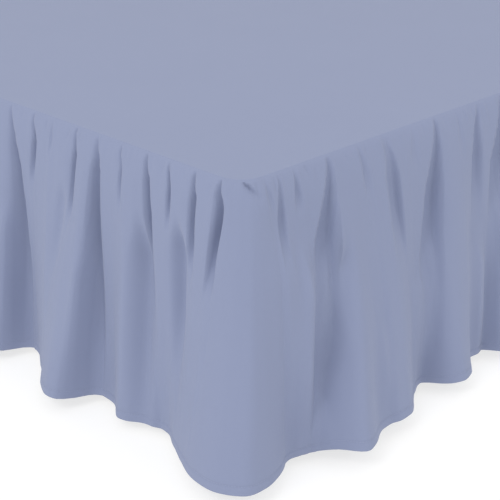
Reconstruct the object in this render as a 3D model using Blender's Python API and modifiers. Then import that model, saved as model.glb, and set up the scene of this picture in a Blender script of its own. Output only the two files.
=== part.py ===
"""A gathered bed skirt on a plain double bed base.

Metres, +Z up. The origin is on the floor under the middle of the whole, X runs across the bed,
and the foot of the bed is towards -Y. The skirt is a flat deck that lies on the base and a frill
sewn round its rim on three sides; the head end is open.
"""

import math
import random

import bmesh
import bpy
import numpy as np
from mathutils import Vector

MM = 0.001

# ---- Driving sizes -------------------------------------------------------------------------

BASE_WIDTH = 1.372            # a double, or full, bed
BASE_LENGTH = 1.905
BASE_TOP = 0.393              # height of the base's flat top above the floor
BASE_BOTTOM = 0.045
BASE_CORNER_RADIUS = 0.030    # upright corners, seen from above
BASE_EDGE_RADIUS = 0.008      # top and bottom edges
GLIDE_RADIUS = 0.028
GLIDE_FOOT_RADIUS = 0.022
GLIDE_INSET_X = 0.130
GLIDE_INSET_Y = 0.140
GAP = 0.0003                  # between pieces that touch

CLOTH = 0.0015                # thickness of the cloth
EDGE_CLEARANCE = 0.002        # how far draped cloth stays off the base's sides
DECK_EDGE_RADIUS = 0.005      # inner radius of the rim's turn
RIM_DEPTH = 0.006             # how far the deck's rim comes down the side
HEAD_INSET = 0.033            # the skirt stops this far short of the base's head face

FRILL_LENGTH = 0.376          # from seam to hem, measured along the cloth
PUFF = 0.008                  # how far the gathers stand out just below the seam
PUFF_DROP = 0.025             # share of the drop in which they come out
SLOT_FLOOR = 0.0005           # how far the bottom of a fold stays in front of the seam's line
FOLD_OPENING = 0.02           # share of the drop in which the folds open
FADE_START = 0.35             # share of its reach at which a fold begins to fade
TOP_TIP = 0.0005              # the frill's top edge tips up by this as the cloth stands out
SIDE_STRIP_START = 0.560      # joins between strips, along the long sides from the foot corners
JOIN_GAP = 0.0005
JOIN_PLACE = 0.35             # a join lies this share of the way from one fold line to the next

# ---- The frill's folds -----------------------------------------------------------------------
# Along the seam, positions are in millimetres from the middle of the right foot corner:
# negative round the foot, positive up the right side.

# Fold lines, where the cloth runs back towards the base. The first four columns are the line's
# place at the shares of the drop in LINE_DROPS. depth is how much of the way back to the base
# the fold goes, reach the share of the drop at which it has faded away, and left and right are
# the widths of its two flanks a quarter of the way down.
LINE_DROPS = (0.0, 0.25, 0.6, 1.0)
FOLD_COLUMNS = ("seam", "quarter", "six_tenths", "hem", "depth", "reach", "left", "right")
SHOWN_FOLDS = (
    (-514, -516, -514, -512, 0.75, 0.45, 16, 9),
    (-461, -458, -453, -428, 1.00, 1.00, 26, 9),
    (-400, -405, -405, -405, 0.80, 0.28, 12, 7),
    (-350, -350, -348, -346, 0.45, 0.14, 8, 6),
    (-298, -319, -328, -330, 0.85, 0.38, 16, 9),
    (-254, -267, -264, -246, 1.00, 1.00, 24, 9),
    (-209, -202, -200, -198, 0.45, 0.30, 8, 6),
    (-155, -155, -150, -120, 0.95, 0.80, 24, 9),
    (-116, -110, -104, -98, 0.70, 0.26, 9, 7),
    (-68, -82, -88, -84, 0.95, 0.50, 20, 9),
    (-14, -24, -24, -26, 0.90, 0.40, 9, 5),
    (5, 17, 22, 24, 0.55, 0.09, 5, 6),
    (46, 54, 50, 44, 0.80, 0.32, 9, 12),
    (73, 80, 78, 64, 0.40, 0.10, 6, 7),
    (146, 144, 124, 88, 1.00, 1.00, 18, 12),
    (197, 199, 196, 192, 0.35, 0.20, 8, 8),
    (246, 278, 270, 250, 0.80, 0.52, 12, 14),
    (306, 318, 316, 312, 0.35, 0.18, 8, 8),
    (360, 372, 374, 325, 1.00, 1.00, 18, 18),
    (411, 412, 410, 404, 0.40, 0.20, 8, 8),
    (463, 457, 436, 424, 0.70, 0.38, 10, 12),
    (522, 520, 505, 450, 1.00, 1.00, 14, 20),
)

# The hem seen from above: how far it stands out from the seam's line at each crest, valley and
# shoulder, in the same millimetres along.
HEM_COLUMNS = ("along", "out")
SHOWN_HEM = (
    (-555, 30),
    (-480, 92),
    (-424, 12),
    (-281, 96),
    (-235, 28),
    (-170, 52),
    (-111, 26),
    (-60, 50),
    (-24, 71),
    (-3, 95),
    (12, 78),
    (40, 38),
    (68, 54),
    (84, 62),
    (108, 118),
    (180, 88),
    (204, 100),
    (300, 40),
    (345, 100),
    (443, 36),
    (492, 94),
    (560, 34),
)

# What is out of sight follows the same habits, drawn from a fixed seed.
HIDDEN_SEED = 11
HIDDEN_PITCH = (96, 158)      # between folds that run all the way to the hem
HIDDEN_CREST = (78, 106)
HIDDEN_VALLEY = (16, 42)
END_MARGIN = 34               # the last fold stays this far from the head end
END_OUT = 34                  # and the hem stands out this far there

ROWS = (0.0, 0.035, 0.12, 0.30, 0.60, 1.0)      # shares of the drop that get a row of points
SHOWN_PLACES = (0.0, 0.15, 0.32, 0.5, 0.68, 0.85)     # columns from one fold line to the next
HIDDEN_PLACES = (0.0, 0.2, 0.5, 0.8)

CLOTH_COLOUR = (0.335, 0.372, 0.532, 1.0)
TICKING_COLOUR = (0.62, 0.60, 0.56, 1.0)
GLIDE_COLOUR = (0.045, 0.045, 0.048, 1.0)


# ---- The seam's line, seen from above ---------------------------------------------------------

SEAM_OUT = EDGE_CLEARANCE + CLOTH / 2
SEAM_RADIUS = BASE_CORNER_RADIUS + SEAM_OUT
CORNER_ARC = SEAM_RADIUS * math.pi / 2
FOOT_RUN = BASE_WIDTH - 2 * BASE_CORNER_RADIUS
SIDE_RUN = BASE_LENGTH - BASE_CORNER_RADIUS - HEAD_INSET
SEAM_END = CORNER_ARC / 2 + SIDE_RUN
SEAM_START = -(CORNER_ARC * 1.5 + FOOT_RUN + SIDE_RUN)
RIM_BOTTOM = BASE_TOP + GAP - RIM_DEPTH


def seam_frame(along):
    """Points on the seam's line, relative to the base's middle, and its outward directions."""
    half_x = BASE_WIDTH / 2 - BASE_CORNER_RADIUS
    foot_y = -BASE_LENGTH / 2 + BASE_CORNER_RADIUS
    walked = np.clip(along - SEAM_START, 0.0, SEAM_END - SEAM_START)
    runs = (
        ((-half_x, foot_y + SIDE_RUN), (0.0, -1.0), math.pi, 0.0, SIDE_RUN),
        ((-half_x, foot_y), None, math.pi, math.pi / 2, CORNER_ARC),
        ((-half_x, foot_y), (1.0, 0.0), 1.5 * math.pi, 0.0, FOOT_RUN),
        ((half_x, foot_y), None, 1.5 * math.pi, math.pi / 2, CORNER_ARC),
        ((half_x, foot_y), (0.0, 1.0), 2 * math.pi, 0.0, SIDE_RUN),
    )
    point = np.zeros(along.shape + (2,))
    outward = np.zeros(along.shape + (2,))
    start = 0.0
    for centre, heading, angle, turn, length in runs:
        share = np.clip((walked - start) / length, 0.0, 1.0)
        here = (walked >= start) & (walked <= start + length + 1e-9)
        bearing = angle + turn * share
        normal = np.stack([np.cos(bearing), np.sin(bearing)], axis=-1)
        spot = np.array(centre) + normal * SEAM_RADIUS
        if heading is not None:
            spot = spot + np.array(heading) * (share * length)[..., None]
        point = np.where(here[..., None], spot, point)
        outward = np.where(here[..., None], normal, outward)
        start += length
    return point, outward


# ---- Fold and hem tables ------------------------------------------------------------------------

def hidden_stretch(start, end, draw):
    """Fold and hem rows for a stretch out of sight, from one through fold to the next."""
    count = max(1, round((end - start) / (sum(HIDDEN_PITCH) / 2)))
    weights = [draw.uniform(*HIDDEN_PITCH) for _ in range(count)]
    scale = (end - start) / sum(weights)
    folds, hem = [], []
    place = start
    for number, weight in enumerate(weights):
        pitch = weight * scale
        if number:
            lean = draw.uniform(-14, 14)
            folds.append((place - lean, place - lean * 0.3, place, place + lean * 0.4,
                          1.0, 1.0, draw.uniform(13, 24), draw.uniform(9, 20)))
            hem.append((place + lean * 0.4, draw.uniform(*HIDDEN_VALLEY)))
        crest = place + pitch * draw.uniform(0.42, 0.58)
        hem.append((crest, draw.uniform(*HIDDEN_CREST) * (0.72 + 0.28 * pitch / HIDDEN_PITCH[1])))
        minor = 2 if pitch > 112 else 1
        for step in range(minor):
            spot = place + pitch * (step + 1) / (minor + 1) + draw.uniform(-5, 5)
            lean = draw.uniform(-6, 6)
            folds.append((spot - lean, spot, spot + lean * 0.4, spot + lean * 0.5,
                          draw.uniform(0.4, 0.9), draw.uniform(0.18, 0.5),
                          draw.uniform(8, 14), draw.uniform(6, 12)))
        place += pitch
    return folds, hem


def all_rows():
    """Every fold and hem row of the frill, from the left head end to the right head end."""
    draw = random.Random(HIDDEN_SEED)
    left_end = SEAM_START / MM + END_MARGIN
    right_end = SEAM_END / MM - END_MARGIN
    shown_start, shown_end = SHOWN_HEM[0][0], SHOWN_HEM[-1][0]
    left_folds, left_hem = hidden_stretch(left_end, shown_start, draw)
    right_folds, right_hem = hidden_stretch(shown_end, right_end, draw)
    through = [(place,) * 4 + (1.0, 1.0, 18, 12) for place in (shown_start, shown_end)]
    last = [(place,) * 4 + (0.6, 0.4, 12, 12) for place in (left_end, right_end)]
    ends = [(place,) * 4 + (0.0, 0.4, 12, 12) for place in (SEAM_START / MM, SEAM_END / MM)]
    folds = sorted(ends + last + through + left_folds + list(SHOWN_FOLDS) + right_folds)
    hem = [(left_end, END_OUT), *left_hem, *SHOWN_HEM, *right_hem, (right_end, END_OUT)]
    return (np.array(folds, dtype=[(column, float) for column in FOLD_COLUMNS]),
            np.array(hem, dtype=[(column, float) for column in HEM_COLUMNS]))


def through_points(places, values, wanted):
    """A smooth curve through the points that rises and falls only where they do."""
    step = np.diff(places)
    slope = np.diff(values) / step
    bend = np.zeros(len(places))
    inner = slope[:-1] * slope[1:] > 0
    bend[1:-1][inner] = 2 * slope[:-1][inner] * slope[1:][inner] / (slope[:-1] + slope[1:])[inner]
    spot = np.clip(np.searchsorted(places, wanted) - 1, 0, len(step) - 1)
    share = np.clip((wanted - places[spot]) / step[spot], 0.0, 1.0)
    low, high = values[spot], values[spot + 1]
    tangent_low, tangent_high = bend[spot] * step[spot], bend[spot + 1] * step[spot]
    return (low * (1 + 2 * share) * (1 - share) ** 2 + high * share ** 2 * (3 - 2 * share)
            + tangent_low * share * (1 - share) ** 2 + tangent_high * share ** 2 * (share - 1))


def smooth_step(share):
    share = np.clip(share, 0.0, 1.0)
    return share * share * (3 - 2 * share)


# ---- The frill's surface --------------------------------------------------------------------------

def fold_lines(folds, drop):
    """Where the fold lines run at a share of the drop, in millimetres along the seam."""
    places = np.stack([folds[column] for column in FOLD_COLUMNS[:len(LINE_DROPS)]])
    upper = min(int(np.searchsorted(LINE_DROPS, drop, side="right")), len(LINE_DROPS) - 1) - 1
    share = (drop - LINE_DROPS[upper]) / (LINE_DROPS[upper + 1] - LINE_DROPS[upper])
    return places[upper] * (1 - share) + places[upper + 1] * share


def fold_pull(folds, number, along, lines, drop):
    """How far the cloth is drawn back towards the base by the folds on either side, 0 to 1."""
    widening = 0.35 + 1.1 * min(drop / 0.25, 1.0) + 0.5 * max(drop - 0.25, 0.0)
    opening = 1 - math.exp(-drop / FOLD_OPENING)
    pull = np.zeros(len(number))
    for fold, flank in ((number, "right"), (number + 1, "left")):
        away = np.abs(along - lines[fold]) / (folds[flank][fold] * widening)
        fading = 1 - smooth_step((drop / folds["reach"][fold] - FADE_START) / (1 - FADE_START))
        pull = np.maximum(pull, folds["depth"][fold] * opening * fading * np.exp(-away ** 1.6))
    return pull


def frill_grid(folds, hem, columns, rows):
    """Points of the frill's middle surface, for columns given as fold number plus a share."""
    number = np.minimum(columns.astype(int), len(folds) - 2)
    share = columns - number
    lines = fold_lines(folds, 1.0)
    hem_along = lines[number] * (1 - share) + lines[number + 1] * share
    hem_out = through_points(hem["along"], hem["out"], hem_along) * MM
    lift = hem_out ** 2 / (2 * FRILL_LENGTH)
    grid = np.zeros((len(rows), len(columns), 3))
    for row, drop in enumerate(rows):
        lines = fold_lines(folds, drop)
        along = lines[number] * (1 - share) + lines[number + 1] * share
        free = PUFF * (1 - math.exp(-drop / PUFF_DROP)) + drop * (hem_out - PUFF)
        out = free + (SLOT_FLOOR - free) * fold_pull(folds, number, along, lines, drop)
        point, outward = seam_frame(along * MM)
        grid[row, :, :2] = point + outward * out[:, None]
        grid[row, :, 2] = RIM_BOTTOM - GAP - TOP_TIP - FRILL_LENGTH * drop + lift * drop ** 2
    return grid


def join_number(folds, along):
    """The fold number of the join nearest to a place along the seam."""
    return float(np.searchsorted(folds["seam"], along / MM)) + JOIN_PLACE


def strip_columns(folds, first, last):
    """Columns of one strip of the frill, between two places given as fold numbers."""
    columns = [first]
    for number in range(len(folds) - 1):
        shown = SHOWN_HEM[0][0] <= folds["seam"][number] < SHOWN_HEM[-1][0]
        columns += [number + place for place in (SHOWN_PLACES if shown else HIDDEN_PLACES)
                    if first + 0.1 < number + place < last - 0.1]
    return np.array([*columns, last])


# ---- Building the pieces ---------------------------------------------------------------------------

def plain_material(name, colour, roughness):
    material = bpy.data.materials.new(name)
    material.use_nodes = True
    shader = material.node_tree.nodes["Principled BSDF"]
    shader.inputs["Base Color"].default_value = colour
    shader.inputs["Roughness"].default_value = roughness
    shader.inputs["Metallic"].default_value = 0.0
    return material


def add_piece(name, mesh, material, collection):
    piece = bpy.data.objects.new(name, mesh)
    piece.data.materials.append(material)
    collection.objects.link(piece)
    return piece


def rounded_block(width, length, height, corner_radius, top_radius, bottom_radius):
    """A block centred on the origin, with round upright corners and round top and bottom edges."""
    block = bmesh.new()
    bmesh.ops.create_cube(block, size=1.0)
    bmesh.ops.scale(block, vec=(width, length, height), verts=block.verts)
    upright = [edge for edge in block.edges
               if abs(edge.verts[0].co.z - edge.verts[1].co.z) > height / 2]
    bmesh.ops.bevel(block, geom=upright, offset=corner_radius, offset_type="OFFSET",
                    segments=5, profile=0.5, affect="EDGES")
    for level, radius, segments in ((height / 2, top_radius, 4), (-height / 2, bottom_radius, 2)):
        if radius:
            rim = [edge for edge in block.edges
                   if all(abs(corner.co.z - level) < 1e-6 for corner in edge.verts)]
            bmesh.ops.bevel(block, geom=rim, offset=radius, offset_type="OFFSET",
                            segments=segments, profile=0.5, affect="EDGES")
    return block


def make_base(collection):
    height = BASE_TOP - BASE_BOTTOM
    block = rounded_block(BASE_WIDTH, BASE_LENGTH, height, BASE_CORNER_RADIUS,
                          BASE_EDGE_RADIUS, BASE_EDGE_RADIUS / 2)
    mesh = bpy.data.meshes.new("bed_base")
    block.to_mesh(mesh)
    block.free()
    piece = add_piece("bed_base", mesh, plain_material("ticking", TICKING_COLOUR, 0.9), collection)
    piece.location.z = BASE_BOTTOM + height / 2
    return piece


def make_glides(collection):
    rubber = plain_material("glide", GLIDE_COLOUR, 0.55)
    across = BASE_WIDTH / 2 - GLIDE_INSET_X
    endwise = BASE_LENGTH / 2 - GLIDE_INSET_Y
    places = [(x, y) for y in (-endwise, 0.0, endwise) for x in (-across, across)]
    height = BASE_BOTTOM - GAP
    glides = []
    for number, (x, y) in enumerate(places, start=1):
        bpy.ops.mesh.primitive_cone_add(vertices=20, radius1=GLIDE_FOOT_RADIUS, radius2=GLIDE_RADIUS,
                                        depth=height, location=(x, y, height / 2))
        glide = bpy.context.object
        glide.name = f"glide_{number}"
        for holder in list(glide.users_collection):
            holder.objects.unlink(glide)
        collection.objects.link(glide)
        glide.data.materials.append(rubber)
        glides.append(glide)
    return glides


def thicken(piece, offset):
    shell = piece.modifiers.new("cloth", "SOLIDIFY")
    shell.thickness = CLOTH
    shell.offset = offset
    shell.use_even_offset = offset != 0
    return piece


def make_deck(cloth, collection):
    """The flat panel, with its rim turned down over the base's edge on three sides."""
    height = 4 * RIM_DEPTH
    top = BASE_TOP + GAP
    block = rounded_block(BASE_WIDTH + 2 * EDGE_CLEARANCE, BASE_LENGTH + 2 * EDGE_CLEARANCE, height,
                          BASE_CORNER_RADIUS + EDGE_CLEARANCE, DECK_EDGE_RADIUS, 0.0)
    head = BASE_LENGTH / 2 - HEAD_INSET
    cuts = (((0, 0, height / 2 - RIM_DEPTH), (0, 0, -1)), ((0, head, 0), (0, 1, 0)))
    for place, direction in cuts:
        parts = block.verts[:] + block.edges[:] + block.faces[:]
        bmesh.ops.bisect_plane(block, geom=parts, dist=1e-6, plane_co=place, plane_no=direction,
                               clear_outer=True)
    mesh = bpy.data.meshes.new("deck")
    block.to_mesh(mesh)
    block.free()
    piece = add_piece("deck", mesh, cloth, collection)
    piece.location.z = top - height / 2
    return thicken(piece, 1.0)


def make_strip(name, folds, hem, first, last, cloth, collection):
    """One strip of the frill, a loft between the straight seam and the waved hem."""
    grid = frill_grid(folds, hem, strip_columns(folds, first, last), ROWS)
    rows, columns = grid.shape[:2]
    faces = [(row * columns + column, (row + 1) * columns + column,
              (row + 1) * columns + column + 1, row * columns + column + 1)
             for row in range(rows - 1) for column in range(columns - 1)]
    mesh = bpy.data.meshes.new(name)
    mesh.from_pydata(grid.reshape(-1, 3).tolist(), [], faces)
    mesh.shade_smooth()
    return thicken(add_piece(name, mesh, cloth, collection), 0.0)


def make_frill(cloth, collection):
    folds, hem = all_rows()
    foot_corner_start = -(CORNER_ARC * 1.5 + FOOT_RUN)
    left_join = join_number(folds, foot_corner_start - SIDE_STRIP_START)
    right_join = join_number(folds, CORNER_ARC / 2 + SIDE_STRIP_START)
    pitch = np.diff(folds["seam"]) * MM
    gaps = [JOIN_GAP / 2 / pitch[int(join)] for join in (left_join, right_join)]
    strips = (
        ("frill_left", 0.0, left_join - gaps[0]),
        ("frill_foot", left_join + gaps[0], right_join - gaps[1]),
        ("frill_right", right_join + gaps[1], float(len(folds) - 1)),
    )
    return [make_strip(name, folds, hem, first, last, cloth, collection)
            for name, first, last in strips]


def outer_limits(pieces):
    """Lowest and highest corners of the pieces as they stand, thickness included."""
    graph = bpy.context.evaluated_depsgraph_get()
    corners = []
    for piece in pieces:
        shaped = piece.evaluated_get(graph)
        corners += [shaped.matrix_world @ Vector(corner) for corner in shaped.bound_box]
    return ([min(corner[axis] for corner in corners) for axis in range(3)],
            [max(corner[axis] for corner in corners) for axis in range(3)])


def main():
    for leftover in list(bpy.data.objects):
        bpy.data.objects.remove(leftover, do_unlink=True)
    collection = bpy.data.collections.new("bed_skirt")
    bpy.context.scene.collection.children.link(collection)
    cloth = plain_material("skirt_cloth", CLOTH_COLOUR, 0.85)
    pieces = [make_deck(cloth, collection), *make_frill(cloth, collection),
              make_base(collection), *make_glides(collection)]
    low, high = outer_limits(pieces)
    for piece in pieces:
        piece.location.x -= (low[0] + high[0]) / 2
        piece.location.y -= (low[1] + high[1]) / 2


main()
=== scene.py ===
"""A gathered bed skirt on a plain double bed base.

Metres, +Z up. The foot of the bed is towards -Y, and the head end of the skirt is open.
"""

import math
import random

import bpy
import numpy as np
from mathutils import Matrix, Vector, noise


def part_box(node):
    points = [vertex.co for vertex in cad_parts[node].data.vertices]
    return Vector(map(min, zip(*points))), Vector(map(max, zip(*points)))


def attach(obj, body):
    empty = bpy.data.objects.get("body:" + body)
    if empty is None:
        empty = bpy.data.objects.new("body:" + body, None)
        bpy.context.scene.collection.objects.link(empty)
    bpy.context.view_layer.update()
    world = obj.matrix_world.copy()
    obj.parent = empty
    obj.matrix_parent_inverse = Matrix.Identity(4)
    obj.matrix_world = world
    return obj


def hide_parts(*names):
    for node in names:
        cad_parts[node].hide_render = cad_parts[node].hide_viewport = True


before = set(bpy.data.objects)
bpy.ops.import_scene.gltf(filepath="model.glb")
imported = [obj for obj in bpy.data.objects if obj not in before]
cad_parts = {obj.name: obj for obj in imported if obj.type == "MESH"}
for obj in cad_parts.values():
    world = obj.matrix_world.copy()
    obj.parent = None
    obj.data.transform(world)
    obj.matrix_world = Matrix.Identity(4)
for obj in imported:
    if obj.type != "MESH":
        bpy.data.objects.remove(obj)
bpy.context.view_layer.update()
MM = 0.001


# ---- Camera ------------------------------------------------------------------------------------
# It stands off the foot corner, above the height of the bed, and looks down along the bed's
# diagonal, close enough for the bed to run out of the picture on both sides.

IMAGE = 500                          # pixels, both ways
FOCAL_PIXELS = 1100.0
SENSOR_WIDTH = 36.0                  # millimetres
PITCH = math.radians(24.188)
CORNER_PIXEL = (241.0, 184.0)        # where the deck's foot corner falls in the picture
CORNER_DISTANCE = 1.26126            # how far in front of the lens it is
SEAM_OUT = 0.00275                   # the skirt's seam stands this far off the base's sides

base_low, base_high = (Vector(corner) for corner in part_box("bed_base"))
base_middle = (base_low + base_high) / 2
DECK_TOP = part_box("deck")[1][2]

diagonal = math.sqrt(0.5)
camera_right = Vector((diagonal, diagonal, 0.0))
camera_forward = Vector((-diagonal * math.cos(PITCH), diagonal * math.cos(PITCH),
                         -math.sin(PITCH)))
camera_up = camera_right.cross(camera_forward)
foot_corner = Vector((base_high.x + SEAM_OUT, base_low.y - SEAM_OUT, DECK_TOP))
camera_place = (foot_corner - camera_forward * CORNER_DISTANCE
                - camera_right * ((CORNER_PIXEL[0] - IMAGE / 2) / FOCAL_PIXELS * CORNER_DISTANCE)
                + camera_up * ((CORNER_PIXEL[1] - IMAGE / 2) / FOCAL_PIXELS * CORNER_DISTANCE))

camera = bpy.data.objects.new("camera", bpy.data.cameras.new("camera"))
camera.data.sensor_width = SENSOR_WIDTH
camera.data.lens = FOCAL_PIXELS / IMAGE * SENSOR_WIDTH
camera.matrix_world = (Matrix.Translation(camera_place)
                       @ Matrix((camera_right, camera_up, -camera_forward)).transposed().to_4x4())
bpy.context.scene.collection.objects.link(camera)
bpy.context.scene.camera = camera


# ---- Floor and light ---------------------------------------------------------------------------
# A pale sweep on the floor, an even white sky of studio light, one broad soft light high on the
# left of the camera, and a weaker one far round to its right.

FLOOR_HALF = 14.0
FLOOR_WHITE = (0.35, 0.35, 0.35, 1.0)
FLOOR_ROUGHNESS = 0.9
FLOOR_GLOW = 0.68             # the sweep is lit a little from below
WHITE = (1.0, 1.0, 1.0, 1.0)
SKY_STRENGTH = 0.93
KEY_PLACE = Vector((0.8, -4.3, 4.0))
LIGHT_SIZE = 2.0
KEY_POWER = 73.0
FILL_PLACE = Vector((4.0, 1.5, 3.0))
FILL_POWER = 21.0


def new_material(name):
    """An empty node material, its tree, and its Principled shader."""
    material = bpy.data.materials.new(name)
    material.use_nodes = True
    return material, material.node_tree, material.node_tree.nodes["Principled BSDF"]


floor_mesh = bpy.data.meshes.new("floor")
floor_mesh.from_pydata([(-FLOOR_HALF, -FLOOR_HALF, 0.0), (FLOOR_HALF, -FLOOR_HALF, 0.0),
                        (FLOOR_HALF, FLOOR_HALF, 0.0), (-FLOOR_HALF, FLOOR_HALF, 0.0)],
                       [], [(0, 1, 2, 3)])
floor = bpy.data.objects.new("floor", floor_mesh)
floor_finish, _, floor_shader = new_material("pale_floor")
floor_shader.inputs["Base Color"].default_value = FLOOR_WHITE
floor_shader.inputs["Roughness"].default_value = FLOOR_ROUGHNESS
floor_shader.inputs["Emission Color"].default_value = WHITE
floor_shader.inputs["Emission Strength"].default_value = FLOOR_GLOW
floor.data.materials.append(floor_finish)
bpy.context.scene.collection.objects.link(floor)

sky = bpy.data.worlds.new("studio")
sky.use_nodes = True
sky.node_tree.nodes["Background"].inputs["Color"].default_value = WHITE
sky.node_tree.nodes["Background"].inputs["Strength"].default_value = SKY_STRENGTH
bpy.context.scene.world = sky

for name, place, power in (("key_light", KEY_PLACE, KEY_POWER),
                           ("fill_light", FILL_PLACE, FILL_POWER)):
    light = bpy.data.objects.new(name, bpy.data.lights.new(name, "AREA"))
    light.data.size = LIGHT_SIZE
    light.data.energy = power
    light.location = place
    light.rotation_euler = (foot_corner - place).to_track_quat("-Z", "Y").to_euler()
    bpy.context.scene.collection.objects.link(light)
bpy.context.scene.view_settings.view_transform = "Standard"


# ---- Bed base ----------------------------------------------------------------------------------
# A timber box upholstered in plain pale ticking, pulled tight and stapled underneath. It shows
# only at the open head end.

TICKING_PALE = (0.66, 0.64, 0.60, 1.0)
TICKING_DARK = (0.58, 0.56, 0.52, 1.0)
TICKING_THREAD = 0.0011
TICKING_PATCHES = 9.0         # noise scale of the broad patches of shade
TICKING_SHEEN = 0.05
WEAVE_STRENGTH = 0.35
SLUB_SCALE = 0.25             # noise scale of the threads' unevenness, over one thread's width
COTTON_ROUGHNESS = 0.88
COTTON_SHINE = 0.2
SHEEN_ROUGHNESS = 0.5


def add_nodes(tree, **kinds):
    """New nodes in a tree, one for each name, returned in order."""
    return [tree.nodes.new(kind) for kind in kinds.values()]


def weave_height(tree, coordinates, thread, slub):
    """Height of a plain weave: two crossed sets of waves, one to a thread, unevened by noise."""
    across, along, threads, uneven, roughened = add_nodes(
        tree, across="ShaderNodeTexWave", along="ShaderNodeTexWave", threads="ShaderNodeMath",
        uneven="ShaderNodeTexNoise", roughened="ShaderNodeMath")
    for wave, direction in ((across, "X"), (along, "Y")):
        wave.bands_direction = direction
        wave.inputs["Scale"].default_value = math.pi / (10 * thread)
        wave.inputs["Distortion"].default_value = 0.6
        wave.inputs["Detail"].default_value = 1.0
        tree.links.new(coordinates, wave.inputs["Vector"])
    uneven.inputs["Scale"].default_value = slub
    uneven.inputs["Detail"].default_value = 3.0
    tree.links.new(coordinates, uneven.inputs["Vector"])
    threads.operation = "MAXIMUM"
    tree.links.new(across.outputs["Fac"], threads.inputs[0])
    tree.links.new(along.outputs["Fac"], threads.inputs[1])
    roughened.operation = "MULTIPLY"
    tree.links.new(threads.outputs[0], roughened.inputs[0])
    tree.links.new(uneven.outputs["Fac"], roughened.inputs[1])
    return roughened.outputs[0]


def cloth_finish(name, pale, dark, thread, patch_scale, sheen, coordinate="UV"):
    """Plain-woven cotton: two close shades in broad soft patches, with the weave as bump."""
    material, tree, shader = new_material(name)
    place, patches, shades, bump = add_nodes(
        tree, place="ShaderNodeTexCoord", patches="ShaderNodeTexNoise",
        shades="ShaderNodeMix", bump="ShaderNodeBump")
    patches.inputs["Scale"].default_value = patch_scale
    patches.inputs["Detail"].default_value = 6.0
    patches.inputs["Roughness"].default_value = 0.7
    tree.links.new(place.outputs["Object"], patches.inputs["Vector"])
    shades.data_type = "RGBA"
    shades.inputs["A"].default_value = dark
    shades.inputs["B"].default_value = pale
    tree.links.new(patches.outputs["Fac"], shades.inputs["Factor"])
    tree.links.new(shades.outputs["Result"], shader.inputs["Base Color"])
    bump.inputs["Strength"].default_value = WEAVE_STRENGTH
    bump.inputs["Distance"].default_value = thread / 3
    tree.links.new(weave_height(tree, place.outputs[coordinate], thread, SLUB_SCALE / thread),
                   bump.inputs["Height"])
    tree.links.new(bump.outputs["Normal"], shader.inputs["Normal"])
    shader.inputs["Roughness"].default_value = COTTON_ROUGHNESS
    shader.inputs["Specular IOR Level"].default_value = COTTON_SHINE
    shader.inputs["Sheen Weight"].default_value = sheen
    shader.inputs["Sheen Roughness"].default_value = SHEEN_ROUGHNESS
    return material


ticking = cloth_finish("ticking", TICKING_PALE, TICKING_DARK, TICKING_THREAD, TICKING_PATCHES,
                       TICKING_SHEEN, "Object")
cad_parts["bed_base"].material_slots[0].material = ticking


# ---- Glides ------------------------------------------------------------------------------------
# Six moulded plastic feet, screwed up into the base's rails.

GLIDE_PALE = (0.052, 0.052, 0.055, 1.0)
GLIDE_DARK = (0.036, 0.036, 0.039, 1.0)
GLIDE_GRAIN = 900.0           # noise scale
GLIDE_ROUGHNESS = (0.42, 0.60)
GRAIN_STRENGTH = 0.15
GRAIN_DEPTH = 0.0002
GLIDE_COUNT = 6


def plastic_finish(name, pale, dark, grain):
    """Moulded plastic with a fine spark-eroded grain and slightly uneven shine."""
    material, tree, shader = new_material(name)
    place, cloud, fine, shades, shine, bump = add_nodes(
        tree, place="ShaderNodeTexCoord", cloud="ShaderNodeTexNoise", fine="ShaderNodeTexNoise",
        shades="ShaderNodeMix", shine="ShaderNodeMapRange", bump="ShaderNodeBump")
    cloud.inputs["Scale"].default_value = grain / 20
    fine.inputs["Scale"].default_value = grain
    for noise_node in (cloud, fine):
        tree.links.new(place.outputs["Object"], noise_node.inputs["Vector"])
    shades.data_type = "RGBA"
    shades.inputs["A"].default_value = dark
    shades.inputs["B"].default_value = pale
    shine.inputs["To Min"].default_value = GLIDE_ROUGHNESS[0]
    shine.inputs["To Max"].default_value = GLIDE_ROUGHNESS[1]
    bump.inputs["Strength"].default_value = GRAIN_STRENGTH
    bump.inputs["Distance"].default_value = GRAIN_DEPTH
    tree.links.new(cloud.outputs["Fac"], shades.inputs["Factor"])
    tree.links.new(cloud.outputs["Fac"], shine.inputs["Value"])
    tree.links.new(fine.outputs["Fac"], bump.inputs["Height"])
    tree.links.new(shades.outputs["Result"], shader.inputs["Base Color"])
    tree.links.new(shine.outputs["Result"], shader.inputs["Roughness"])
    tree.links.new(bump.outputs["Normal"], shader.inputs["Normal"])
    return material


glide_plastic = plastic_finish("glide_plastic", GLIDE_PALE, GLIDE_DARK, GLIDE_GRAIN)
for number in range(1, GLIDE_COUNT + 1):
    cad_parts[f"glide_{number}"].material_slots[0].material = glide_plastic


# ---- Skirt cloth and its seam ------------------------------------------------------------------
# Plain-woven blue cotton, about a millimetre thick. The frill is gathered on to the rim of the
# deck in one seam that runs down the left side, round the foot and back up the right side.

CLOTH_PALE = (0.246, 0.281, 0.414, 1.0)
CLOTH_DARK = (0.236, 0.270, 0.401, 1.0)
CLOTH_THREAD = 0.0007
CLOTH_PATCHES = 5.0
CLOTH_SHEEN = 0.12
CLOTH = 0.0010                # thickness
BASE_CORNER_RADIUS = 0.030
HEAD_INSET = 0.033            # the skirt stops this far short of the base's head face

skirt_cloth = cloth_finish("skirt_cotton", CLOTH_PALE, CLOTH_DARK, CLOTH_THREAD, CLOTH_PATCHES,
                           CLOTH_SHEEN)

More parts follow.
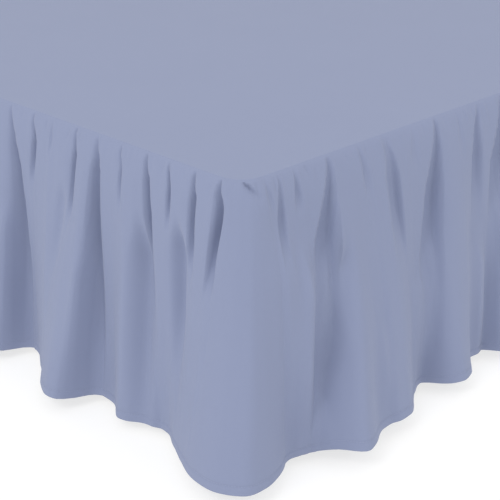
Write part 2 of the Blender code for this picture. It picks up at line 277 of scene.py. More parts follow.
base_width = base_high.x - base_low.x
base_length = base_high.y - base_low.y
SEAM_RADIUS = BASE_CORNER_RADIUS + SEAM_OUT
CORNER_ARC = SEAM_RADIUS * math.pi / 2
FOOT_RUN = base_width - 2 * BASE_CORNER_RADIUS
SIDE_RUN = base_length - BASE_CORNER_RADIUS - HEAD_INSET
SEAM_END = CORNER_ARC / 2 + SIDE_RUN
SEAM_START = -(CORNER_ARC * 1.5 + FOOT_RUN + SIDE_RUN)


ROUNDING = 1e-9               # slack where one run of the seam ends and the next starts


def seam_frame(along):
    """Points on the seam's line and its outward directions, seen from above."""
    half_x = base_width / 2 - BASE_CORNER_RADIUS
    foot_y = -base_length / 2 + BASE_CORNER_RADIUS
    walked = np.clip(along - SEAM_START, 0.0, SEAM_END - SEAM_START)
    runs = (
        ((-half_x, foot_y + SIDE_RUN), (0.0, -1.0), math.pi, 0.0, SIDE_RUN),
        ((-half_x, foot_y), None, math.pi, math.pi / 2, CORNER_ARC),
        ((-half_x, foot_y), (1.0, 0.0), 1.5 * math.pi, 0.0, FOOT_RUN),
        ((half_x, foot_y), None, 1.5 * math.pi, math.pi / 2, CORNER_ARC),
        ((half_x, foot_y), (0.0, 1.0), 2 * math.pi, 0.0, SIDE_RUN),
    )
    point = np.zeros(along.shape + (2,))
    outward = np.zeros(along.shape + (2,))
    start = 0.0
    for centre, heading, angle, turn, length in runs:
        share = np.clip((walked - start) / length, 0.0, 1.0)
        here = (walked >= start) & (walked <= start + length + ROUNDING)
        bearing = angle + turn * share
        normal = np.stack([np.cos(bearing), np.sin(bearing)], axis=-1)
        spot = np.array(centre) + normal * SEAM_RADIUS
        if heading is not None:
            spot = spot + np.array(heading) * (share * length)[..., None]
        point = np.where(here[..., None], spot, point)
        outward = np.where(here[..., None], normal, outward)
        start += length
    return point + np.array(base_middle.xy), outward


RIM_RADIUS = 0.0026           # the deck's cloth rolls over this far, and through this turn,
RIM_TURN = math.radians(52)   # before it meets the frill at the seam
SEAM_FALL = RIM_RADIUS * (1 - math.cos(RIM_TURN))
SEAM_PROUD = 0.0006           # the cloth's face stands this far out from the seam's line
SEAM_WANDER = 0.0005          # and wanders in and out by this,
SEAM_SWAY = 0.021             # over about this length
SEAM_NOISE = 7.0              # noise seed


def soft_noise(places, seed):
    """Smooth noise from -1 to 1 at pairs of numbers, the same in every run."""
    return np.array([noise.noise((first, second, seed)) for first, second in places])


def seam_wander(along):
    """How far the seam stands proud of its line, in metres."""
    places = np.stack([along / SEAM_SWAY, np.zeros(len(along))], axis=1)
    return soft_noise(places, SEAM_NOISE) * SEAM_WANDER


# ---- Frill: fold and hem tables ----------------------------------------------------------------
# One long band of cloth with its top edge drawn up into gathers. Some gathers run all the way to
# the hem as folds and some die out near the seam, and the hem swings in and out in lobes.
# Positions are in millimetres along the seam from the middle of the right foot corner: negative
# round the foot, positive up the right side.

# Fold lines, where the cloth runs back towards the base. The first four columns are the line's
# place at the shares of the drop in LINE_DROPS. depth is how much of the way back to the base
# the fold goes, opens the share of the drop by which it is fully open, reach the share by which
# it has faded, and rest how much of it is left from there to the hem. left and right are the
# widths of its two steep flanks, and shoulder is the width of the gentle slope that leads down
# to the slot from one side: negative where it lies to the left.
LINE_DROPS = (0.0, 0.09, 0.25, 0.6, 1.0)
FOLD_COLUMNS = ("seam", "neck", "quarter", "six_tenths", "hem", "depth", "opens", "reach", "rest",
                "left", "right", "shoulder")
SHOWN_FOLDS = (
    (-514, -510, -512, -514, -512, 0.75, 0.20, 0.50, 0.10, 10, 6, -10),
    (-451, -438, -427, -423, -434, 0.95, 0.18, 1.00, 0.08, 11, 6, -11),
    (-396, -384, -392, -398, -402, 0.95, 0.12, 0.30, 0.00, 9, 3, -8),
    (-350, -346, -350, -350, -346, 0.25, 0.08, 0.14, 0.00, 4, 3, -4),
    (-299, -290, -291, -330, -336, 0.85, 0.12, 0.36, 0.00, 9, 4, -17),
    (-253, -245, -246, -243, -249, 0.80, 0.12, 1.00, 0.10, 10, 6, -10),
    (-205, -196, -196, -196, -196, 0.40, 0.10, 0.25, 0.00, 4, 3, -6),
    (-154, -144, -140, -136, -126, 1.00, 0.10, 0.66, 0.00, 10, 4, -16),
    (-113, -103, -104, -104, -100, 0.75, 0.10, 0.24, 0.00, 5, 3, -5),
    (-66, -58, -58, -70, -80, 1.00, 0.10, 0.40, 0.00, 10, 4, -12),
    (-23, -17, -21, -25, -30, 1.00, 0.06, 0.42, 0.00, 7, 3, -5),
    (28, 30, 30, 30, 30, 0.20, 0.06, 0.12, 0.00, 5, 4, 4),
    (50, 46, 42, 40, 38, 0.42, 0.14, 0.34, 0.00, 7, 7, 6),
    (78, 76, 76, 76, 60, 0.45, 0.10, 0.16, 0.00, 7, 7, 4),
    (141, 135, 127, 118, 82, 0.69, 0.28, 0.52, 0.00, 27, 7, 0),
    (197, 198, 199, 196, 180, 0.25, 0.10, 0.20, 0.00, 5, 8, 6),
    (250, 255, 260, 262, 250, 0.46, 0.14, 0.50, 0.00, 20, 9, 0),
    (306, 302, 304, 300, 296, 0.18, 0.10, 0.18, 0.00, 8, 10, 6),
    (360, 357, 351, 332, 312, 0.62, 0.24, 0.66, 0.00, 25, 7, 0),
    (411, 406, 406, 396, 380, 0.10, 0.10, 0.20, 0.00, 6, 8, 6),
    (460, 448, 447, 444, 440, 0.60, 0.20, 0.46, 0.00, 14, 14, 8),
    (520, 516, 514, 506, 466, 1.00, 0.24, 0.58, 0.00, 30, 24, 10),
)

# The hem seen from above: how far it stands out from the seam's line at each crest, valley and
# shoulder, in the same millimetres along.
HEM_COLUMNS = ("along", "out")
SHOWN_HEM = (
    (-555, 30), (-482, 88), (-452, 62), (-442, 28), (-430, 16), (-372, 44), (-313, 84), (-287, 93),
    (-273, 89), (-264, 70), (-260, 48), (-252, 34), (-237, 27), (-222, 28), (-180, 51), (-161, 45),
    (-137, 33), (-122, 24), (-108, 25), (-80, 40), (-50, 56), (-29, 66), (-16, 84), (-7, 101),
    (1, 107), (8, 88), (15, 66), (24, 45), (40, 33), (54, 30), (65, 38), (73, 58), (84, 103),
    (92, 117), (104, 118), (117, 115), (172, 90), (185, 89), (202, 96), (216, 96), (279, 58),
    (308, 46), (316, 54), (325, 77), (336, 91), (350, 96), (372, 90), (430, 46), (452, 44),
    (458, 57), (463, 78), (480, 94), (500, 92), (560, 34),
)

# What is out of sight follows the same habits, drawn from a fixed seed.
HIDDEN_SEED = 11
HIDDEN_PITCH = (96, 158)      # between folds that run all the way to the hem
HIDDEN_CREST = (78, 106)      # how far the hem stands out at its crests, over the widest pitch
HIDDEN_VALLEY = (16, 42)      # and in its valleys
CREST_PLACE = (0.42, 0.58)    # share of the pitch at which the crest stands
CREST_KEPT = 0.72             # share of the crest that a narrower pitch keeps
LOBE_ROUNDING = ((-0.23, 0.74), (-0.09, 0.98), (0.09, 1.00), (0.23, 0.78))
THROUGH_LEAN = 14             # how far a fold to the hem leans,
THROUGH_LINE = (-1.0, -1.0, -0.3, 0.0, 0.4)    # shares of that at the LINE_DROPS,
THROUGH_SHAPE = (1.0, 0.2, 0.9, 0.1)           # its depth, opens, reach and rest,
THROUGH_FLANKS = (12, 10, 10)                  # its left, right and shoulder at either end,
THROUGH_LEFT = (8, 18)        # and their ranges in between
THROUGH_RIGHT = (6, 16)
THROUGH_SHOULDER = (-16, 16)
WIDE_PITCH = 112              # a pitch wider than this has two short gathers, a narrower one one
SHORT_SHIFT = 5
SHORT_LEAN = 6
SHORT_LINE = (-1.0, -1.0, 0.0, 0.4, 0.5)
SHORT_DEPTH = (0.4, 0.9)
SHORT_OPENS = 0.12
SHORT_REACH = (0.18, 0.5)
SHORT_REST = 0.03
SHORT_LEFT = (5, 11)
SHORT_RIGHT = (5, 9)
SHORT_SHOULDER = (-8, 8)
END_MARGIN = 34               # the last fold stays this far from the head end,
END_OUT = 34                  # the hem stands out this far there,
LAST_DEPTH = 0.6              # and the fold has this depth, and these other values
LAST_SHAPE = (0.1, 0.4, 0.0, 8, 8, 6)


def hidden_stretch(start, end, draw):
    """Fold and hem rows for a stretch out of sight, from one through fold to the next."""
    count = max(1, round((end - start) / (sum(HIDDEN_PITCH) / 2)))
    weights = [draw.uniform(*HIDDEN_PITCH) for _ in range(count)]
    scale = (end - start) / sum(weights)
    folds, hem = [], []
    place = start
    for number, weight in enumerate(weights):
        pitch = weight * scale
        if number:
            lean = draw.uniform(-THROUGH_LEAN, THROUGH_LEAN)
            line = [place + lean * share for share in THROUGH_LINE]
            folds.append((*line, *THROUGH_SHAPE, draw.uniform(*THROUGH_LEFT),
                          draw.uniform(*THROUGH_RIGHT), draw.uniform(*THROUGH_SHOULDER)))
            hem.append((line[-1], draw.uniform(*HIDDEN_VALLEY)))
        crest = place + pitch * draw.uniform(*CREST_PLACE)
        fullness = CREST_KEPT + (1 - CREST_KEPT) * pitch / HIDDEN_PITCH[1]
        out = draw.uniform(*HIDDEN_CREST) * fullness
        hem += [(crest + pitch * aside, out * share) for aside, share in LOBE_ROUNDING]
        short = 2 if pitch > WIDE_PITCH else 1
        for step in range(short):
            spot = (place + pitch * (step + 1) / (short + 1)
                    + draw.uniform(-SHORT_SHIFT, SHORT_SHIFT))
            lean = draw.uniform(-SHORT_LEAN, SHORT_LEAN)
            folds.append((*(spot + lean * share for share in SHORT_LINE),
                          draw.uniform(*SHORT_DEPTH), SHORT_OPENS, draw.uniform(*SHORT_REACH),
                          SHORT_REST, draw.uniform(*SHORT_LEFT), draw.uniform(*SHORT_RIGHT),
                          draw.uniform(*SHORT_SHOULDER)))
        place += pitch
    return folds, hem


def straight_folds(places, *shape):
    """Rows for folds that hang straight down, all of one depth and width."""
    return [(place,) * len(LINE_DROPS) + shape for place in places]


def all_rows():
    """Every fold and hem row of the frill, from the left head end to the right head end."""
    draw = random.Random(HIDDEN_SEED)
    left_end = SEAM_START / MM + END_MARGIN
    right_end = SEAM_END / MM - END_MARGIN
    shown_start, shown_end = SHOWN_HEM[0][0], SHOWN_HEM[-1][0]
    left_folds, left_hem = hidden_stretch(left_end, shown_start, draw)
    right_folds, right_hem = hidden_stretch(shown_end, right_end, draw)
    through = straight_folds((shown_start, shown_end), *THROUGH_SHAPE, *THROUGH_FLANKS)
    last = straight_folds((left_end, right_end), LAST_DEPTH, *LAST_SHAPE)
    ends = straight_folds((SEAM_START / MM, SEAM_END / MM), 0.0, *LAST_SHAPE)
    folds = sorted(ends + last + through + left_folds + list(SHOWN_FOLDS) + right_folds)
    hem = [(left_end, END_OUT), *left_hem, *SHOWN_HEM, *right_hem, (right_end, END_OUT)]
    return (np.array(folds, dtype=[(column, float) for column in FOLD_COLUMNS]),
            np.array(hem, dtype=[(column, float) for column in HEM_COLUMNS]))


folds, hem = all_rows()


# ---- Frill: the shape of the cloth -------------------------------------------------------------
# The cloth leaves the seam in a small roll, puffs out between the gathers, and hangs out to the
# hem. Finer gathers pucker it just under the seam, and soft creases break its flanks.

FRILL_LENGTH = 0.3809         # from seam to hem, measured along the cloth
ROLL = 0.0025                 # the gathers roll out this far right at the seam
ROLL_DROP = 0.006
PUFF = 0.0135                 # how far they stand out just below it, beyond the roll
PUFF_DROP = 0.060             # share of the drop in which they come out
SLOT_FLOOR = 0.0005           # how far the bottom of a fold stays in front of the seam's line
SEAM_SETTLING = 0.01          # share of the drop in which creases and that floor come in
FOLD_SINKING = 0.003          # share of the drop in which the folds reach their depth
SWING = 1.25                  # above 1, the lobes swing out more and more towards the hem
FLANK_ROUNDING = 0.06         # how softly a fold's flank turns into the panel beside it
SLOT_SHARE = 0.75             # beside a shoulder the steep flank is this much of the fold's depth
BOWL = 4.0                    # above 1, the steep flanks round out into a trough
FOLD_START = 0.55             # share of a fold's depth that it has at the seam
FOLD_TOP = 0.20               # share of a fold's width that it has at the seam
FOLD_SPREAD = 0.25            # and how much wider it grows from there to the hem
CORNER_STRETCH = 2.2          # the hem is this much longer than the seam round a foot corner
FADE_START = 0.35             # share of its reach at which a fold begins to fade
SIDE_STRIP_START = 0.560      # joins between strips, along the long sides from the foot corners
JOIN_GAP = 0.0001             # between the strips' edges there
JOIN_PLACE = 0.35             # a join lies this share of the way from one fold line to the next

# Creases, each a soft trough from one place and share of the drop to another; width and depth
# are in millimetres, and a negative depth is a ridge.
CREASE_COLUMNS = ("from_along", "from_drop", "to_along", "to_drop", "width", "depth")
SHOWN_CREASES = (
    (-446, 0.350, -446, 1.060, 9.0, -8.0),
    (-312, 0.200, -330, 0.600, 10.0, 5.0),
    (-258, 0.400, -256, 1.060, 10.0, -9.0),
    (-158, 0.180, -148, 1.250, 15.0, 18.0),
    (-87, 0.150, -78, 0.900, 12.0, 15.0),
    (1, 0.000, 20, 0.060, 3.0, 6.5),
    (38, 0.120, 48, 1.300, 22.0, -17.0),
    (76, 0.200, 54, 1.350, 16.0, -23.0),
    (150, 0.220, 62, 1.250, 16.0, 13.0),
    (136, 0.300, 63, 1.350, 12.0, 5.0),
    (122, 0.580, 43, 1.480, 12.0, 11.0),
    (100, 0.740, 67, 1.220, 8.0, 8.0),
    (84, 0.000, 90, 0.050, 2.2, -1.2),
    (96, 0.000, 103, 0.060, 2.4, 1.4),
    (190, 0.000, 193, 0.060, 2.2, -1.4),
    (192, 0.600, 188, 1.080, 12.0, -5.0),
    (236, 0.000, 238, 0.045, 2.2, -1.2),
    (300, 0.500, 300, 1.040, 20.0, -9.0),
    (343, 0.400, 313, 1.050, 12.0, -8.0),
    (426, 0.000, 430, 0.070, 2.2, -1.6),
    (472, 0.000, 477, 0.100, 2.2, -1.8),
    (438, 0.450, 440, 1.300, 22.0, -18.0),
    (520, 0.500, 478, 1.100, 13.0, 5.0),
)
CREASE_TOP = 0.45             # share of a trough's width that it has where it starts
CREASE_WIDENING = 4           # it has its whole width after a quarter of its run,
CREASE_RISE = 5               # its whole depth after a fifth,
CREASE_FALL = 1.6             # and loses that over the last five eighths

# Puckers, the finest gathers under the seam, in the same columns.
PUCKER_SEED = 5
PUCKER_START = -0.001
PUCKER_LEAN = 2.5
PUCKER_PITCH = (9, 19)
PUCKER_REACH = (0.02, 0.10)
PUCKER_WIDTH = (1.6, 3.2)
PUCKER_DEPTH = (0.4, 1.6)

# The cloth's slight unevenness: its size and its length along the seam in millimetres, its turns
# down the drop, its noise seed, and the share of the drop in which it comes in.
UNEVENNESS = ((1.3, 34, 2.2, 3.0, 0.12), (0.45, 9, 1.5, 11.0, 0.05))

HEM_BAND = 0.011              # the hem is turned up this deep and stitched
STITCH_DROP = 1.0 - HEM_BAND / FRILL_LENGTH
STITCH_PULL = 0.0007          # the stitches draw the cloth in by this,
GROOVE_WIDTH = 0.0012         # over this much on either side,
HEM_FULL = 0.0005             # and the doubled hem stands out by this,
HEM_STEP = 0.002              # a little below them

SHOWN_COLUMNS = 20            # columns of points from one fold line to the next
HIDDEN_COLUMNS = 11
CORNER_FINER = 3              # times as many between the lines on either side of a foot corner
COLUMN_CROWDING = 0.45        # how much the columns crowd towards the fold lines
COLUMN_CLEAR = 0.02           # a strip's last column but one keeps this off its edge
ROWS = 46
ROW_CROWDING = 0.65           # how much the rows crowd towards the seam
SEAM_ROWS = (0.0015, 0.0035, 0.0065)
FIRST_ROW = 0.01              # the evenly growing rows start below this
HEM_ROWS = (1.35, 1.15, 1.0, 0.85, 0.6, 0.25, 0.08, 0.0)    # above the edge, in hem depths
ROW_CLEAR = 0.004


def through_points(places, values, wanted):
    """A smooth curve through the points that rises and falls only where they do."""
    step = np.diff(places)
    slope = np.diff(values) / step
    bend = np.zeros(len(places))
    inner = slope[:-1] * slope[1:] > 0
    bend[1:-1][inner] = 2 * slope[:-1][inner] * slope[1:][inner] / (slope[:-1] + slope[1:])[inner]
    spot = np.clip(np.searchsorted(places, wanted) - 1, 0, len(step) - 1)
    share = np.clip((wanted - places[spot]) / step[spot], 0.0, 1.0)
    low, high = values[spot], values[spot + 1]
    tangent_low, tangent_high = bend[spot] * step[spot], bend[spot + 1] * step[spot]
    return (low * (1 + 2 * share) * (1 - share) ** 2 + high * share ** 2 * (3 - 2 * share)
            + tangent_low * share * (1 - share) ** 2 + tangent_high * share ** 2 * (share - 1))


def smooth_step(share):
    share = np.clip(share, 0.0, 1.0)
    return share * share * (3 - 2 * share)


line_places = np.stack([folds[column] for column in FOLD_COLUMNS[:len(LINE_DROPS)]])


def fold_lines(drop):
    """Where the fold lines run at a share of the drop, in millimetres along the seam."""
    places = np.array(LINE_DROPS)
    return np.array([through_points(places, line, np.array([drop]))[0] for line in line_places.T])


def slope(share):
    """A straight slope from 1 to 0 with a softly rounded foot."""
    rest = (1 - share) / 2
    return rest + np.sqrt(rest ** 2 + FLANK_ROUNDING ** 2) - FLANK_ROUNDING ** 2


def fold_pull(number, along, lines, drop):
    """How far the cloth is drawn back towards the base by the folds on either side, 0 to 1."""
    sinking = 1 - math.exp(-drop / FOLD_SINKING)
    pull = np.zeros(len(number))
    for fold, flank, side in ((number, "right", 1), (number + 1, "left", -1)):
        opening = np.minimum(drop / folds["opens"][fold], 1.0)
        widening = FOLD_TOP + (1 - FOLD_TOP) * opening + FOLD_SPREAD * drop
        away = np.abs(along - lines[fold]) / widening
        width = folds[flank][fold]
        shoulder = np.maximum(folds["shoulder"][fold] * side, 0.0)
        steep = np.where(shoulder > 0, SLOT_SHARE, 1.0)
        bowl = slope((away / width) ** BOWL)
        flank_depth = steep * bowl + (1 - steep) * slope(away / (width + shoulder))
        fading = 1 - smooth_step((drop / folds["reach"][fold] - FADE_START) / (1 - FADE_START))
        fading = folds["rest"][fold] + (1 - folds["rest"][fold]) * fading
        deepening = FOLD_START + (1 - FOLD_START) * opening
        pull = np.maximum(pull, folds["depth"][fold] * sinking * deepening * fading * flank_depth)
    return pull


def all_creases():
    """The listed creases, and the fine puckers under the whole seam."""
    draw = random.Random(PUCKER_SEED)
    creases = list(SHOWN_CREASES)
    place = SEAM_START / MM + PUCKER_PITCH[0]
    while place < SEAM_END / MM - PUCKER_PITCH[0]:
        lean = draw.uniform(-PUCKER_LEAN, PUCKER_LEAN)
        creases.append((place, PUCKER_START, place + lean, draw.uniform(*PUCKER_REACH),
                        draw.uniform(*PUCKER_WIDTH), draw.uniform(*PUCKER_DEPTH)))
        place += draw.uniform(*PUCKER_PITCH)
    return np.array(creases, dtype=[(column, float) for column in CREASE_COLUMNS])


creases = all_creases()


def crease_depth(along, drop):
    """How deep the creases are at points along one row, in metres."""
    here = creases[(creases["from_drop"] <= drop) & (creases["to_drop"] >= drop)]
    share = (drop - here["from_drop"]) / (here["to_drop"] - here["from_drop"])
    centre = here["from_along"] * (1 - share) + here["to_along"] * share
    strength = (here["depth"] * smooth_step(share * CREASE_RISE)
                * smooth_step((1 - share) * CREASE_FALL))
    opening = CREASE_TOP + (1 - CREASE_TOP) * smooth_step(share * CREASE_WIDENING)
    width = here["width"] * np.where(here["depth"] > 0, opening, 1.0)
    away = (along[:, None] - centre[None, :]) / width[None, :]
    return (strength[None, :] * np.exp(-away ** 2)).sum(axis=1) * MM


def hem_relief(drop):
    """How far the doubled hem stands out, and its row of stitches draws in."""
    below = (drop - STITCH_DROP) * FRILL_LENGTH
    groove = STITCH_PULL * math.exp(-(below / GROOVE_WIDTH) ** 2)
    return HEM_FULL * float(smooth_step(below / HEM_STEP)) - groove


def hem_walk(along):
    """Distance along the hem: further than along the seam round the two foot corners."""
    half = CORNER_ARC / 2 / MM
    left_corner = -(CORNER_ARC + FOOT_RUN) / MM
    return along + CORNER_STRETCH * (np.clip(along, -half, half)
                                     + np.clip(along - left_corner, -half, half))


def frill_grid(columns, rows):
    """Points of the frill's middle surface, for columns given as fold number plus a share."""
    number = np.minimum(columns.astype(int), len(folds) - 2)
    share = columns - number
    lines = fold_lines(1.0)
    hem_along = lines[number] * (1 - share) + lines[number + 1] * share
    hem_out = through_points(hem_walk(hem["along"]), hem["out"], hem_walk(hem_along)) * MM
    lift = hem_out ** 2 / (2 * FRILL_LENGTH)
    grid = np.zeros((len(rows), len(columns), 3))
    for row, drop in enumerate(rows):
        lines = fold_lines(drop)
        along = lines[number] * (1 - share) + lines[number + 1] * share
        swing = drop ** SWING
        puff = ROLL * (1 - math.exp(-drop / ROLL_DROP)) + PUFF * (1 - math.exp(-drop / PUFF_DROP))
        free = puff * (1 - swing) + hem_out * swing
        out = free + (SLOT_FLOOR - free) * fold_pull(number, along, lines, drop)
        settled = min(drop / SEAM_SETTLING, 1.0)
        out -= crease_depth(along, drop) * settled
        for size, length, turns, seed, fade_in in UNEVENNESS:
            places = np.stack([along / length, np.full(len(along), drop * turns)], axis=1)
            out += soft_noise(places, seed) * size * MM * smooth_step(drop / fade_in)
        out += hem_relief(drop)
        out = np.maximum(out, SLOT_FLOOR * settled)
        out += seam_wander(along * MM) + SEAM_PROUD
        point, outward = seam_frame(along * MM)
        grid[row, :, :2] = point + outward * out[:, None]
        risen = lift * SWING ** 2 / (2 * SWING - 1) * drop ** (2 * SWING - 1)
        grid[row, :, 2] = DECK_TOP - SEAM_FALL - FRILL_LENGTH * drop + risen
    return grid


def join_number(along):
    """The fold number of the join nearest to a place along the seam."""
    return float(np.searchsorted(folds["seam"], along / MM)) + JOIN_PLACE


def strip_columns(first, last):
    """Columns of one strip, closest together at the fold lines."""
    columns = [first]
    corners = (0.0, -(CORNER_ARC + FOOT_RUN) / MM)
    for number in range(len(folds) - 1):
        shown = SHOWN_HEM[0][0] <= folds["seam"][number] < SHOWN_HEM[-1][0]
        count = SHOWN_COLUMNS if shown else HIDDEN_COLUMNS
        if any(folds["seam"][number] < corner < folds["seam"][number + 1] for corner in corners):
            count *= CORNER_FINER
        for step in range(count):
            share = step / count
            share = COLUMN_CROWDING * smooth_step(share) + (1 - COLUMN_CROWDING) * share
            if first + COLUMN_CLEAR < number + share < last - COLUMN_CLEAR:
                columns.append(number + share)
    return np.array([*columns, last])


def strip_rows():
    """Rows of points, closest together under the seam, with extra ones round the hem's sewing."""
    share = np.linspace(0.0, 1.0, ROWS)
    spread = (1 - ROW_CROWDING) * share + ROW_CROWDING * share ** 2
    hem_rows = 1.0 - (1.0 - STITCH_DROP) * np.array(HEM_ROWS)
    between = spread[(spread > FIRST_ROW) & (spread < hem_rows[0] - ROW_CLEAR)]
    return np.concatenate([[0.0], SEAM_ROWS, between, hem_rows])


def add_piece(name, mesh, material):
    piece = bpy.data.objects.new(name, mesh)
    piece.data.materials.append(material)
    bpy.context.scene.collection.objects.link(piece)
    return piece


def thicken(piece, thickness):
    """Give a sheet its thickness, towards the side that doesn't show."""
    shell = piece.modifiers.new("cloth", "SOLIDIFY")
    shell.thickness = thickness
    shell.offset = -1.0
    return piece


def sharpen(mesh, edge_points):
    """Keep the shading of both sides of a sheet apart along an edge through these points."""
    for edge in mesh.edges:
        if edge.vertices[0] in edge_points and edge.vertices[1] in edge_points:
            edge.use_edge_sharp = True


def cloth_strip(name, grid, drops):
    """A sheet through a grid of points, with a UV map in metres of flat cloth."""
    rows, columns = grid.shape[:2]
    faces = [(row * columns + column, (row + 1) * columns + column,
              (row + 1) * columns + column + 1, row * columns + column + 1)
             for row in range(rows - 1) for column in range(columns - 1)]
    mesh = bpy.data.meshes.new(name)
    mesh.from_pydata(grid.reshape(-1, 3).tolist(), [], faces)
    mesh.shade_smooth()
    sharpen(mesh, set(range(columns)))
    hem_steps = np.linalg.norm(np.diff(grid[-1], axis=0), axis=1)
    across = np.concatenate([[0.0], np.cumsum(hem_steps)])
    flat = np.stack(np.broadcast_arrays(across[None, :], -drops[:, None] * FRILL_LENGTH), axis=-1)
    corners = np.zeros(len(mesh.loops), dtype=int)
    mesh.loops.foreach_get("vertex_index", corners)
    mesh.uv_layers.new(name="cloth").data.foreach_set("uv", flat.reshape(-1, 2)[corners].ravel())
    return add_piece(name, mesh, skirt_cloth), float(across[-1])


# The sewing: a row of short stitches of the cloth's own colour round the whole hem.
STITCH_PITCH = 0.0040
STITCH_THICK = 0.0006
STITCH_LENGTH = 0.0030
STITCH_UNEVEN = (0.82, 1.08)  # shares of that length
STITCH_SIDES = 6
STITCH_RINGS = 4
STITCH_SEED = 3
THREAD_TWIST = 420.0          # wave scale
THREAD_STRENGTH = 0.3
THREAD_ROUGHNESS = 0.6
THREAD_PALE = (0.300, 0.336, 0.470, 1.0)
# painted shade: the darker colour is laid in the grooves of the thread's twist
THREAD_GROOVE_SHADE = (0.262, 0.296, 0.426, 1.0)


def thread_finish():
    """Twisted sewing thread, a little paler than the cloth, with painted shade darkening the
    grooves of its twist.
    """
    material, tree, shader = new_material("skirt_thread")
    place, twist, shades, bump = add_nodes(
        tree, place="ShaderNodeTexCoord", twist="ShaderNodeTexWave",
        shades="ShaderNodeMix", bump="ShaderNodeBump")
    twist.bands_direction = "DIAGONAL"
    twist.inputs["Scale"].default_value = THREAD_TWIST
    twist.inputs["Distortion"].default_value = 1.5
    tree.links.new(place.outputs["Object"], twist.inputs["Vector"])
    shades.data_type = "RGBA"
    shades.inputs["A"].default_value = THREAD_GROOVE_SHADE
    shades.inputs["B"].default_value = THREAD_PALE
    # the twist's low bands, the grooves of its bump, take the darker colour as painted shade
    tree.links.new(twist.outputs["Fac"], shades.inputs["Factor"])
    tree.links.new(shades.outputs["Result"], shader.inputs["Base Color"])
    bump.inputs["Strength"].default_value = THREAD_STRENGTH
    bump.inputs["Distance"].default_value = STITCH_THICK / 5
    tree.links.new(twist.outputs["Fac"], bump.inputs["Height"])
    tree.links.new(bump.outputs["Normal"], shader.inputs["Normal"])
    shader.inputs["Roughness"].default_value = THREAD_ROUGHNESS
    return material


def stitch_group(thread):
    """Nodes that lay one stitch at every step along each line of a mesh of edges."""
    group = bpy.data.node_groups.new("stitches", "GeometryNodeTree")
    sockets = {}
    for name, kind in (("Geometry", "NodeSocketGeometry"), ("Pitch", "NodeSocketFloat"),
                       ("Length", "NodeSocketFloat"), ("Thickness", "NodeSocketFloat"),
                       ("Seed", "NodeSocketInt")):
        sockets[name] = group.interface.new_socket(name, in_out="INPUT", socket_type=kind)
    group.interface.new_socket("Geometry", in_out="OUTPUT", socket_type="NodeSocketGeometry")
    (given, result, curve, points, stitch, lay, uneven, size, lengthwise, realize,
     finish) = add_nodes(
        group, given="NodeGroupInput", result="NodeGroupOutput", curve="GeometryNodeMeshToCurve",
        points="GeometryNodeCurveToPoints", stitch="GeometryNodeMeshUVSphere",
        lay="GeometryNodeInstanceOnPoints", uneven="FunctionNodeRandomValue",
        size="ShaderNodeCombineXYZ", lengthwise="ShaderNodeMath",
        realize="GeometryNodeRealizeInstances", finish="GeometryNodeSetMaterial")
    points.mode = "LENGTH"
    stitch.inputs["Segments"].default_value = STITCH_SIDES
    stitch.inputs["Rings"].default_value = STITCH_RINGS
    stitch.inputs["Radius"].default_value = 0.5
    uneven.data_type = "FLOAT"
    uneven.inputs[2].default_value, uneven.inputs[3].default_value = STITCH_UNEVEN
    lengthwise.operation = "MULTIPLY"
    finish.inputs["Material"].default_value = thread
    link = group.links.new
    link(given.outputs["Geometry"], curve.inputs["Mesh"])
    link(curve.outputs["Curve"], points.inputs["Curve"])
    link(given.outputs["Pitch"], points.inputs["Length"])
    link(points.outputs["Points"], lay.inputs["Points"])
    link(points.outputs["Rotation"], lay.inputs["Rotation"])
    link(stitch.outputs["Mesh"], lay.inputs["Instance"])
    link(given.outputs["Seed"], uneven.inputs["Seed"])
    link(given.outputs["Length"], lengthwise.inputs[0])
    link(uneven.outputs[1], lengthwise.inputs[1])
    link(given.outputs["Thickness"], size.inputs["X"])
    link(given.outputs["Thickness"], size.inputs["Y"])
    link(lengthwise.outputs[0], size.inputs["Z"])
    link(size.outputs[0], lay.inputs["Scale"])
    link(lay.outputs["Instances"], realize.inputs["Geometry"])
    link(realize.outputs["Geometry"], finish.inputs["Geometry"])
    link(finish.outputs["Geometry"], result.inputs["Geometry"])
    return group, sockets


skirt_thread = thread_finish()
stitch_nodes, stitch_sockets = stitch_group(skirt_thread)


def stitch_line(name, points):
    """A finished row of stitches through a line of points."""
    mesh = bpy.data.meshes.new(name + "_line")
    mesh.from_pydata([tuple(point) for point in points],
                     [(step, step + 1) for step in range(len(points) - 1)], [])
    guide = bpy.data.objects.new(name + "_line", mesh)
    bpy.context.scene.collection.objects.link(guide)
    sewing = guide.modifiers.new("stitches", "NODES")
    sewing.node_group = stitch_nodes
    for socket, value in (("Pitch", STITCH_PITCH), ("Length", STITCH_LENGTH),
                          ("Thickness", STITCH_THICK), ("Seed", STITCH_SEED)):
        sewing[stitch_sockets[socket].identifier] = value
    shaped = guide.evaluated_get(bpy.context.evaluated_depsgraph_get())
    sewn = bpy.data.objects.new(name, bpy.data.meshes.new_from_object(shaped))
    bpy.data.objects.remove(guide)
    bpy.context.scene.collection.objects.link(sewn)
    sewn.data.shade_smooth()
    return sewn


foot_corner_start = -(CORNER_ARC * 1.5 + FOOT_RUN)
left_join = join_number(foot_corner_start - SIDE_STRIP_START)
right_join = join_number(CORNER_ARC / 2 + SIDE_STRIP_START)
pitch = np.diff(folds["seam"]) * MM
left_gap = JOIN_GAP / 2 / pitch[int(left_join)]
right_gap = JOIN_GAP / 2 / pitch[int(right_join)]
drops = strip_rows()
for name, node, first, last in (
        ("frill_strip_left", "frill_left", 0.0, left_join - left_gap),
        ("frill_strip_foot", "frill_foot", left_join + left_gap, right_join - right_gap),
        ("frill_strip_right", "frill_right", right_join + right_gap, float(len(folds) - 1))):
    grid = frill_grid(strip_columns(first, last), drops)
    strip, cut_width = cloth_strip(name, grid, drops)
    thicken(strip, CLOTH)
    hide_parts(node)
    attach(strip, "root")
    stitches = stitch_line(name + "_stitches", grid[np.argmin(np.abs(drops - STITCH_DROP))])
    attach(stitches, "root")


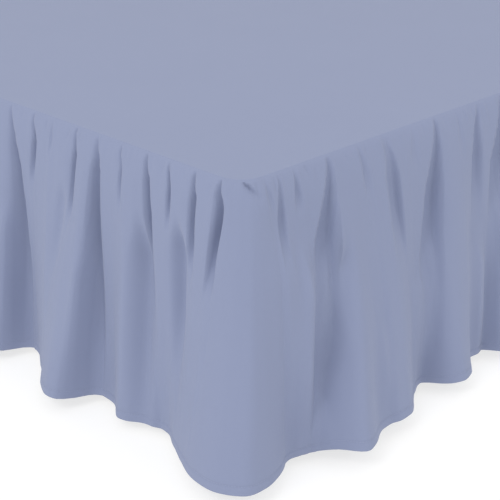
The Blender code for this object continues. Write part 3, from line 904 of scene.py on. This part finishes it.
# ---- Deck --------------------------------------------------------------------------------------
# A flat panel that lies on the base, under the mattress. Its rim rolls over the base's edge and
# down to the seam on three sides, and the head edge is turned under and stitched.

RIM_INWARD = (0.002, 0.005, 0.010, 0.016, 0.024)    # points from the rim's roll inwards
RIM_ARC_STEPS = 6
RIM_PITCH = 0.004             # between points along the seam
DECK_CLOTH = 0.0012           # thickness
DECK_HEM = 0.012              # the head edge is turned under this deep


def rim_profile():
    """Pairs of distance out from the seam's line and below the deck's top, going inwards."""
    points = []
    for step in range(RIM_ARC_STEPS + 1):
        turn = RIM_TURN * (1 - step / RIM_ARC_STEPS)
        points.append((SEAM_PROUD - RIM_RADIUS * (math.sin(RIM_TURN) - math.sin(turn)),
                       RIM_RADIUS * (1 - math.cos(turn))))
    flat_edge = points[-1][0]
    return points + [(flat_edge - inward, 0.0) for inward in RIM_INWARD]


profile = rim_profile()
count = int((SEAM_END - SEAM_START) / RIM_PITCH)
seam_places = np.concatenate([
    [SEAM_START, SEAM_START + DECK_HEM],
    np.linspace(SEAM_START + 2 * DECK_HEM, SEAM_END - 2 * DECK_HEM, count),
    [SEAM_END - DECK_HEM, SEAM_END]])
point, outward = seam_frame(seam_places)
wander = seam_wander(seam_places)
deck_points, deck_faces = [], []
for column in range(len(seam_places)):
    for order, (out, fall) in enumerate(profile):
        spot = point[column] + outward[column] * (out + wander[column] * fall / SEAM_FALL)
        deck_points.append((spot[0], spot[1], DECK_TOP - fall))
depth = len(profile)
for column in range(len(seam_places) - 1):
    for order in range(depth - 1):
        corner = column * depth + order
        deck_faces.append((corner, corner + depth, corner + depth + 1, corner + 1))
inner = [column * depth + depth - 1 for column in range(len(seam_places))]
deck_faces.append((inner[0], inner[1], inner[-2], inner[-1]))
deck_faces.append(tuple(inner[1:-1]))
deck_mesh = bpy.data.meshes.new("deck_panel")
deck_mesh.from_pydata(deck_points, [], deck_faces)
deck_mesh.shade_smooth()
sharpen(deck_mesh, set(range(0, len(deck_points), depth)))
deck_uv = deck_mesh.uv_layers.new(name="cloth").data
for loop in deck_mesh.loops:
    deck_uv[loop.index].uv = deck_mesh.vertices[loop.vertex_index].co.xy
deck_panel = thicken(add_piece("deck_panel", deck_mesh, skirt_cloth), DECK_CLOTH)
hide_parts("deck")
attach(deck_panel, "root")
head_line = [deck_points[column * depth + depth - 1] for column in (1, len(seam_places) - 2)]
head_stitches = stitch_line("deck_head_stitches", head_line)
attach(head_stitches, "root")
